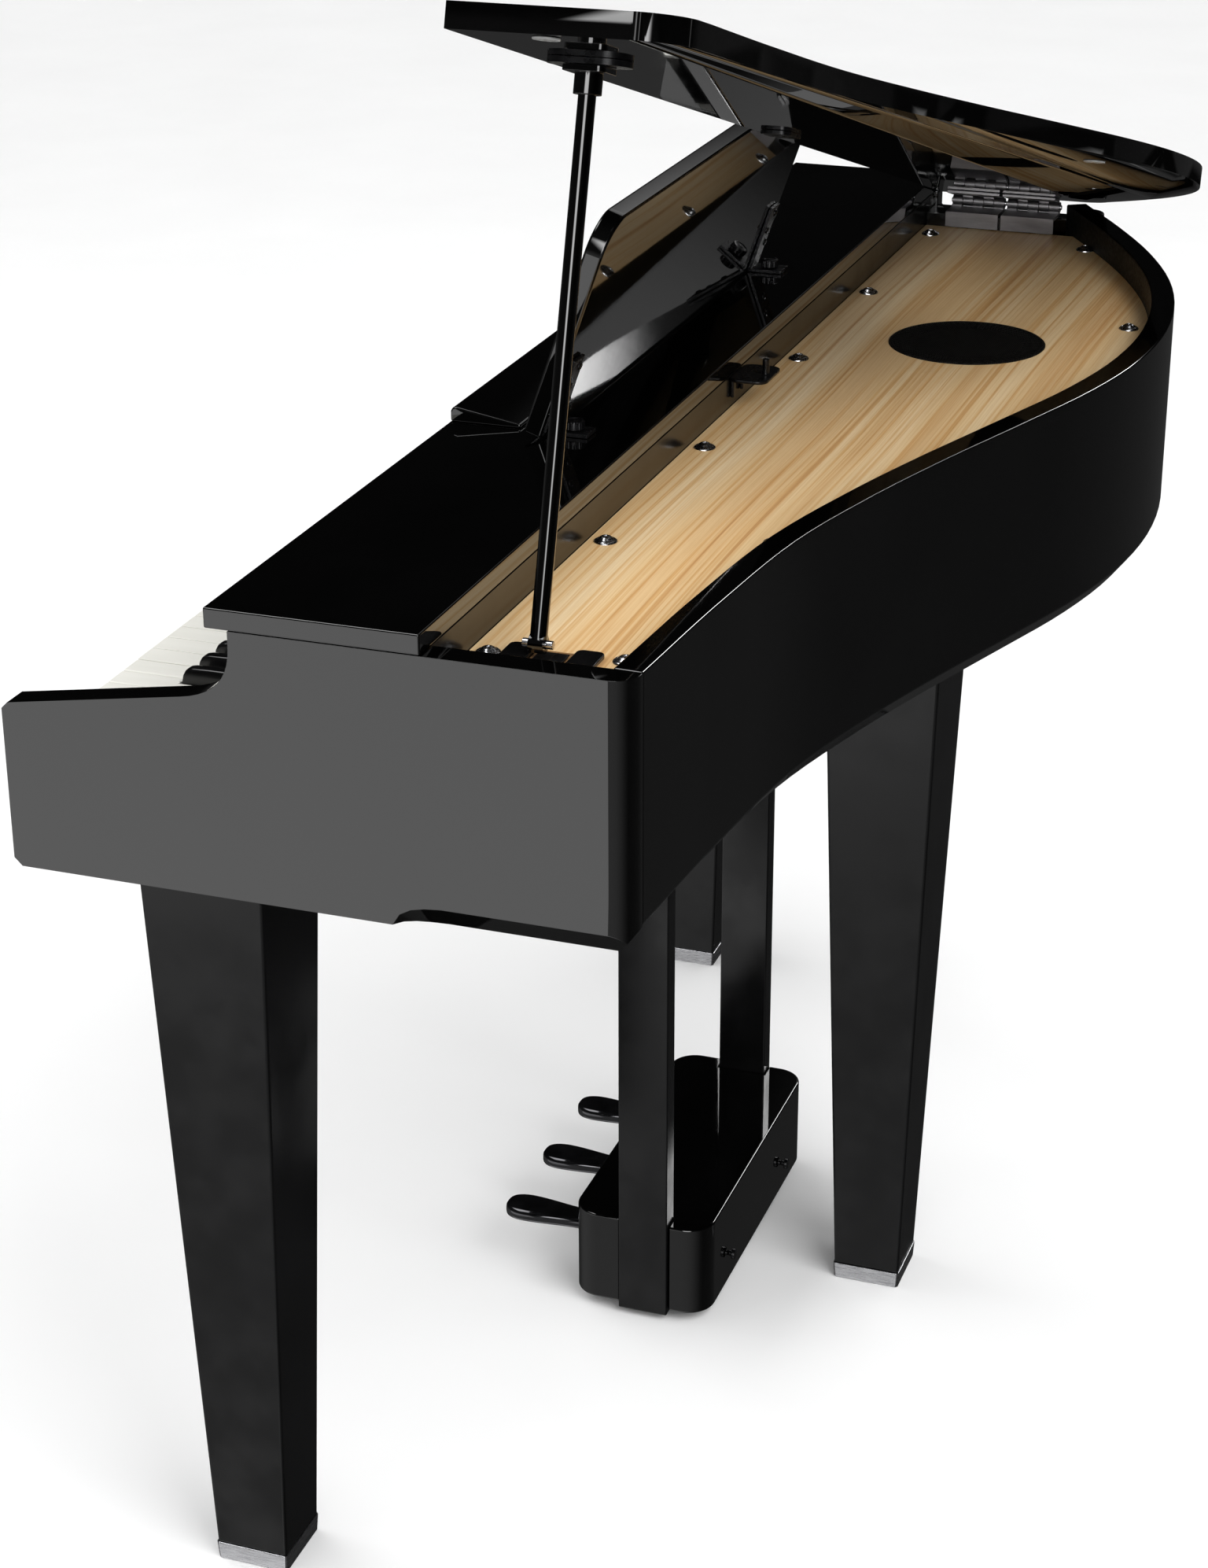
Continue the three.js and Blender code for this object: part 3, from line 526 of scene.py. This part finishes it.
# ---------------------------------------------------------------- pieces carried over from the CAD
EASED = {  # node: (edge radius in mm, segments)
    "lid": (2.2, 4), "treble_cheek": (1.6, 4), "bass_cheek": (1.6, 4), "curved_rim": (1.6, 4),
    "top_panel": (1.2, 3), "music_desk": (2.2, 3), "music_ledge": (1.5, 3), "pedal_box": (1.8, 4),
    "treble_leg": (1.2, 3), "bass_leg": (1.2, 3), "tail_leg": (1.2, 3),
    "treble_post": (1.2, 3), "bass_post": (1.2, 3),
    "treble_ferrule": (0.8, 3), "bass_ferrule": (0.8, 3), "tail_ferrule": (0.8, 3),
    "white_keys": (1.5, 3), "key_C8": (1.5, 3), "key_B7": (1.5, 3), "key_A7": (1.5, 3),
    "prop_cup_plate": (1.6, 3), "lid_prop": (0.8, 3),
    "lid_pin_bracket": (0.9, 3), "desk_bracket_treble": (0.9, 3), "desk_bracket_bass": (0.9, 3),
}
LOOKS = {  # node: a look other than its slot's own
    "belly_rail": "satin_black",
    "hinge_case_leaf_1": "satin_steel", "hinge_case_leaf_2": "satin_steel",
    "hinge_lid_leaf_1": "satin_steel", "hinge_lid_leaf_2": "satin_steel",
}
REBUILT = {  # made afresh further down
    "pedal_left", "pedal_middle", "pedal_right", "speaker_grille", "prop_bracket",
    "desk_thumb_screw_treble", "desk_thumb_screw_bass", "black_keys", "key_A_sharp7",
}
LEAST_EASED = (0.6, 2)
for node in NODES:
    if node not in REBUILT:
        refined(node, LOOKS.get(node), *EASED.get(node, LEAST_EASED))


# ---------------------------------------------------------------- turned and lofted pieces
def skin(name, rings):
    """A closed mesh through rings of equally many points, with both ends capped."""
    work = bmesh.new()
    rows = [[work.verts.new(point) for point in ring] for ring in rings]
    for low, high in zip(rows, rows[1:]):
        for k in range(len(low)):
            after = (k + 1) % len(low)
            work.faces.new((low[k], low[after], high[after], high[k]))
    work.faces.new(rows[0])
    work.faces.new(rows[-1])
    bmesh.ops.recalc_face_normals(work, faces=work.faces)
    mesh = bpy.data.meshes.new(name)
    work.to_mesh(mesh)
    work.free()
    return mesh


def turned(profile, place, axis=Z, steps=32, shape=None):
    """Rings for a turned piece: (radius, height) pairs in mm along an axis. shape(angle, ring) scales a
    radius, for knurls and recesses."""
    turn = Z.rotation_difference(axis).to_matrix()
    rings = []
    for ring, (radius, height) in enumerate(profile):
        points = []
        for k in range(steps):
            angle = 2 * math.pi * k / steps
            r = radius * (shape(angle, ring) if shape else 1.0)
            point = Vector((r * math.cos(angle), r * math.sin(angle), height))
            points.append(Vector(place) + turn @ point * MM)
        rings.append(points)
    return rings


def slab(name, outline, low, high):
    """A flat plate from an outline of (x, y) in metres."""
    return skin(name, [[Vector((x, y, z)) for x, y in outline] for z in (low, high)])


def rounded(x0, x1, y0, y1, r):
    """The outline of a rectangle with rounded corners."""
    points, steps = [], 6
    corners = ((x1 - r, y1 - r), (x0 + r, y1 - r), (x0 + r, y0 + r), (x1 - r, y0 + r))
    for quarter, (x, y) in enumerate(corners):
        for k in range(steps + 1):
            angle = math.radians(90 * quarter + 90 * k / steps)
            points.append((x + r * math.cos(angle), y + r * math.sin(angle)))
    return points


def cross_recess(first):
    """Shapes the rings from number first on as a cross, as in a screw's head."""
    def shape(angle, ring):
        return 1.0 if ring < first else 0.42 + 0.58 * abs(math.cos(2 * angle)) ** 2
    return shape


def screw(name, place, axis, radius):
    """A domed, blackened screw head with a cross recess."""
    s = radius / 3.0
    profile = [(3.0, -0.4), (3.0, 0.2), (2.8, 0.8), (2.2, 1.3), (1.5, 1.5), (1.3, 1.5), (0.9, 0.7),
               (0.2, 0.6)]
    rings = turned([(r * s, h * s) for r, h in profile], place, axis, 32, cross_recess(5))
    piece(name, skin(name, rings), "case", "black_metal", smooth=50)


# ---------------------------------------------------------------- soundboard and speaker
BOARD_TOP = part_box("soundboard")[1].z
CUP_SCREWS = ((-609, 306), (-369, 306), (-133, 306), (137, 306), (376, 306), (613, 306),
              (599, 399), (339, 425), (-323, 562), (-594, 467))  # x and depth from the key fronts, mm
CUP_AND_HEAD = (  # (radius, height) in mm: a pressed cup washer and the domed screw head in it
    (9.0, -0.3), (9.0, 0.5), (8.4, 1.3), (7.2, 2.0), (6.4, 2.2), (6.1, 2.0), (5.7, 2.2), (5.0, 3.3),
    (3.6, 4.2), (2.3, 4.6), (2.0, 4.6), (1.4, 3.2), (0.2, 3.1),
)
for number, (x, depth) in enumerate(CUP_SCREWS):
    seat = Vector((x * MM, (depth + FRONT) * MM, BOARD_TOP))
    mesh = skin(f"board_screw_{number + 1}", turned(CUP_AND_HEAD, seat, Z, 40, cross_recess(10)))
    piece(mesh.name, mesh, "case", "chrome_plate", smooth=60)

RIB_STEPS = 288  # four to each rib of the grille and the groove beside it
RIB_HEIGHT = 0.9
GAUZE_EDGE = 22.0  # how far the gauze starts inside the rim, mm


def grille_rings():
    """A rolled rim, a ring of radial ribs and a shallow dome of gauze inside it."""
    low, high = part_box("speaker_grille")
    middle = (low + high) / 2
    middle.z = BOARD_TOP + 0.4 * MM
    radius = (high.x - low.x) / 2 / MM
    gauze = radius - GAUZE_EDGE
    rim = [(radius, -2.2), (radius, -0.1), (radius - 0.8, 0.7), (radius - 2.4, 0.9), (radius - 3.4, 0.2)]
    rings = turned(rim, middle, Z, RIB_STEPS)
    for inset in (4.4, 12.0, 19.0):
        ring = turned([(radius - inset, -RIB_HEIGHT)], middle, Z, RIB_STEPS)[0]
        for k, point in enumerate(ring):
            point.z += RIB_HEIGHT * MM * (k // 2 % 2)
        rings.append(ring)
    dome = [(radius - 20.0, -0.8), (gauze, -0.8)]
    dome += [(gauze * share, 1.6 * (1 - share ** 2) - 0.6) for share in (0.95, 0.8, 0.6, 0.4, 0.2, 0.02)]
    return rings + turned(dome, middle, Z, RIB_STEPS)


made = piece("speaker_grille_shown", skin("speaker_grille_shown", grille_rings()), "case",
             "grille_mesh", smooth=40)
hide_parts("speaker_grille")


# ---------------------------------------------------------------- pedals
PEDAL = (  # depth from the key fronts, half width, lowest and highest z, mm
    (108.1, 3.2, 55.0, 60.4), (109.2, 7.8, 52.8, 62.4), (112.0, 11.9, 51.5, 63.6),
    (116.5, 14.8, 51.0, 64.0), (123.0, 16.6, 51.0, 64.2), (130.0, 17.0, 51.0, 64.2),
    (142.0, 16.3, 51.0, 64.0), (156.0, 14.4, 51.0, 63.5), (168.0, 12.7, 51.0, 63.0),
    (180.0, 11.7, 51.0, 62.8), (196.0, 11.4, 51.0, 62.8), (215.0, 11.4, 51.0, 63.2),
    (262.0, 11.4, 51.0, 63.6), (283.0, 11.4, 49.4, 63.8), (299.0, 11.4, 49.6, 63.4),
)
CROWN, KEEL = 0.62, 0.42  # roundness of a pedal's section above and below; 1 is an ellipse


def pedal(node):
    """A cast pedal: a broad rounded toe, crowned on top and flat below, drawn in to a narrow arm."""
    low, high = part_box(node)
    middle = (low.x + high.x) / 2
    rings = []
    for depth, half, bottom, top in PEDAL:
        ring = []
        for k in range(40):
            angle = 2 * math.pi * k / 40
            c, s = math.cos(angle), math.sin(angle)
            power = CROWN if s > 0 else KEEL
            x = half * math.copysign(abs(c) ** power, c)
            z = (bottom + top) / 2 + (top - bottom) / 2 * math.copysign(abs(s) ** power, s)
            ring.append(Vector((middle + x * MM, (depth + FRONT) * MM, z * MM)))
        rings.append(ring)
    mesh = skin(node + "_shown", rings)
    made = piece(mesh.name, mesh, BODY_OF[node], "black_nickel", smooth=60)
    smoother = made.modifiers.new("smoother", "SUBSURF")
    smoother.levels = smoother.render_levels = 1
    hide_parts(node)


for node in ("pedal_left", "pedal_middle", "pedal_right"):
    pedal(node)


# ---------------------------------------------------------------- prop base
PROP_BASE = (  # name, look, slot, x0, x1, y0, y1 from the pin, corner radius, low and high, ease; mm
    ("prop_tab_front", "satin_black", "satin_black", -17, 17, -25.5, -5.5, 5, 0, 3.6, 0.9, 3),
    ("prop_tab_rear", "satin_black", "satin_black", -17, 17, 22.5, 42.5, 5, 0, 3.6, 0.9, 3),
    ("prop_slot_edge", "raw_board", "painted_board", -14, 14, -5.2, 22.2, 2, 0, 0.9, 0.2, 2),
    # a flat dark sheet over the slot's middle: painted shade that stands for the shaded inside of the hole
    ("prop_slot_painted_shade", "painted_board", "painted_board", -11, 11, -3, 19, 1.5, 0.9, 1.1, 0.0, 2),
    ("prop_stop", "black_metal", "black_metal", -5, 9, 10, 20, 2, 1.1, 3.2, 0.6, 3),
)
pin = sum(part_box("prop_pin"), Vector()) / 2
seat = BOARD_TOP + 0.3 * MM
for name, look, slot, x0, x1, y0, y1, corner, low, high, ease, segments in PROP_BASE:
    outline = rounded(pin.x + x0 * MM, pin.x + x1 * MM, pin.y + y0 * MM, pin.y + y1 * MM, corner * MM)
    mesh = slab(name, outline, seat + low * MM, seat + high * MM)
    made = piece(name, mesh, "case", look, bevel=ease * MM, segments=segments)
    if name == "prop_tab_rear":
        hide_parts("prop_bracket")


# ---------------------------------------------------------------- music desk brackets
DESK_LEAN = 19.3  # degrees back from upright
DESK_HEEL = 221  # depth of the brackets' bend from the key fronts, mm
DESK_SCREWS = ((-4.5, 56.0), (4.5, 41.0), (-4.5, 27.0))  # x from the bracket's middle, height; mm
BRACKET_FACE = 3.4  # how far the bracket's outer face is from its bend, mm
KNOB = (  # (radius, height) in mm, with its knurl on the fourth and fifth rings
    (3.4, -0.2), (6.6, 0.0), (7.2, 0.5), (8.0, 1.1), (8.0, 6.6), (7.3, 7.4), (6.2, 7.7), (5.6, 7.7),
    (5.2, 7.1), (2.6, 7.1), (2.2, 7.6), (0.3, 7.7),
)


def knurl(angle, ring):
    """Twenty-four grooves round a knob's rim."""
    return 1.0 - (0.045 if ring in (3, 4) else 0.0) * (math.cos(24 * angle) > 0)


lean = math.radians(DESK_LEAN)
up = Vector((0, math.sin(lean), math.cos(lean)))
out = Vector((0, math.cos(lean), -math.sin(lean)))
for side in ("treble", "bass"):
    bracket = sum(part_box("desk_bracket_" + side), Vector()) / 2
    heel = Vector((bracket.x, (DESK_HEEL + FRONT) * MM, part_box("top_panel")[1].z + 1 * MM))
    for number, (x, height) in enumerate(DESK_SCREWS):
        place = heel + X * x * MM + up * height * MM + out * BRACKET_FACE * MM
        screw(f"desk_screw_{side}_{number + 1}", place, out, 3.4)
    node = "desk_thumb_screw_" + side
    low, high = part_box(node)
    middle = (low + high) / 2
    middle.z = low.z
    mesh = skin(node + "_shown", turned(KNOB, middle, Z, 96, knurl))
    made = piece(mesh.name, mesh, BODY_OF[node], "black_metal", smooth=30)
    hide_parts(node)


# ---------------------------------------------------------------- black keys
KEY_PITCH, WHITE_COUNT, LAST_SHARP = 23.5, 52, 49
KEY_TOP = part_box("key_C8")[1].z / MM
SHARP_SHIFT = {0: 3, 2: -2, 3: 2, 5: -3, 6: 0}  # white key's place in its octave from A: next sharp's shift
SHARP_CREST = (  # depth from the key fronts, height over the white keys; mm
    (52.0, -1.0), (52.2, 2.6), (53.0, 6.4), (54.6, 9.2), (57.2, 11.0), (61.0, 11.8), (75.0, 12.2),
    (150.0, 12.2), (228.8, -1.2),
)


def sharp_rings(middle):
    """A black key: upright sides drawn in a little towards a crowned top, and a rounded nose."""
    rings = []
    for depth, height in SHARP_CREST:
        top = KEY_TOP + height
        side = [(5.45, KEY_TOP - 11.5), (5.4, min(KEY_TOP, top - 3.0)), (4.95, top - 2.6),
                (4.5, top - 1.1), (3.4, top - 0.3), (1.6, top)]
        ring = side + [(-x, z) for x, z in reversed(side)]
        rings.append([Vector(((middle + x) * MM, (depth + FRONT) * MM, z * MM)) for x, z in ring])
    return rings


def joined(name, meshes):
    """One mesh of several."""
    work = bmesh.new()
    for mesh in meshes:
        work.from_mesh(mesh)
        bpy.data.meshes.remove(mesh)
    made = bpy.data.meshes.new(name)
    work.to_mesh(made)
    work.free()
    return made


sharps = {}
for white in range(WHITE_COUNT - 1):
    if white % 7 in SHARP_SHIFT:
        middle = KEY_PITCH * (white + 1 - WHITE_COUNT / 2) + SHARP_SHIFT[white % 7]
        node = "key_A_sharp7" if white == LAST_SHARP else "black_keys"
        sharps.setdefault(node, []).append(skin("sharp", sharp_rings(middle)))
for node, meshes in sharps.items():
    mesh = joined(node + "_shown", meshes)
    made = piece(mesh.name, mesh, BODY_OF[node], "ebony_plastic", smooth=50)
    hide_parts(node)
